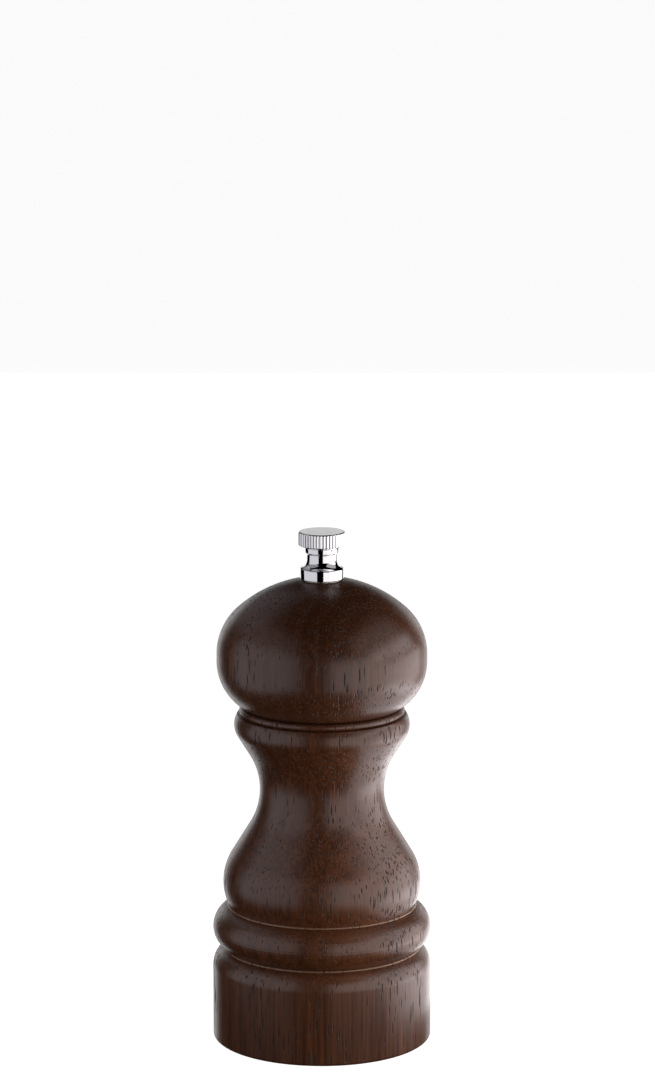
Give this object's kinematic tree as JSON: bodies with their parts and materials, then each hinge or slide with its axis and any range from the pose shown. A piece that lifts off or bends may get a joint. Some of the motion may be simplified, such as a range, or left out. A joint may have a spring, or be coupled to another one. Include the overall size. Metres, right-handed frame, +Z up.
{
  "type": "pepper mill",
  "caption": "Turned wooden hand pepper mill with a head that turns and lifts off, a threaded thumb nut and steel grinding burrs in the foot.",
  "frame": {"origin": "centre of the face that the mill stands on", "axes": "+Z up along the turning axis, +X to the right and +Y away from the viewer of the picture"},
  "size_m": [0.0508, 0.0508, 0.1199],
  "materials": {
    "stained_wood": "dark brown stain under satin lacquer",
    "polished_metal": "mirror polish",
    "plain_steel": "bright zinc",
    "burr_steel": "hardened, dark grey",
    "brass": "turned"
  },
  "bodies": {
    "mill_body": {"body": "stained_wood", "female_burr": "burr_steel", "bridge": "plain_steel", "mount_plate": "plain_steel", "mount_screws": "plain_steel"},
    "drive": {"spring": "plain_steel", "thrust_washer": "plain_steel", "shaft_bush": "brass"},
    "grinder": {"shaft": "plain_steel", "male_burr": "burr_steel", "spring_seat": "plain_steel", "burr_washer": "plain_steel", "burr_nut": "plain_steel"},
    "head": {"head": "stained_wood", "head_bush": "brass", "drive_plate": "plain_steel", "drive_plate_screws": "plain_steel"},
    "knob_washer": {"knob_washer": "plain_steel"},
    "knob": {"knob": "polished_metal"}
  },
  "joints": [
    {"name": "head_turn", "type": "hinge", "parent": "mill_body", "child": "drive", "pos_m": [0, 0, 0.028], "axis": [0, 0, 1], "continuous": true},
    {"name": "grind_adjust", "type": "slide", "parent": "drive", "child": "grinder", "axis": [0, 0, 1], "range_m": [0, 0.0008], "stiffness_N_per_m": 800, "springref_m": -0.003, "deforming": ["spring"]},
    {"name": "head_lift", "type": "slide", "parent": "drive", "child": "head", "axis": [0, 0, 1], "range_m": [0, 0.06]},
    {"name": "knob_rise", "type": "slide", "parent": "head", "child": "knob_washer", "axis": [0, 0, 1], "range_m": [0, 0.00735]},
    {"name": "knob_turn", "type": "hinge", "parent": "knob_washer", "child": "knob", "pos_m": [0, 0, 0.112], "axis": [0, 0, 1], "range_deg": [0, 3781]}
  ],
  "couplings": [
    {"joint": "knob_turn", "follows": "knob_rise", "rad_per_m": 8976}
  ]
}
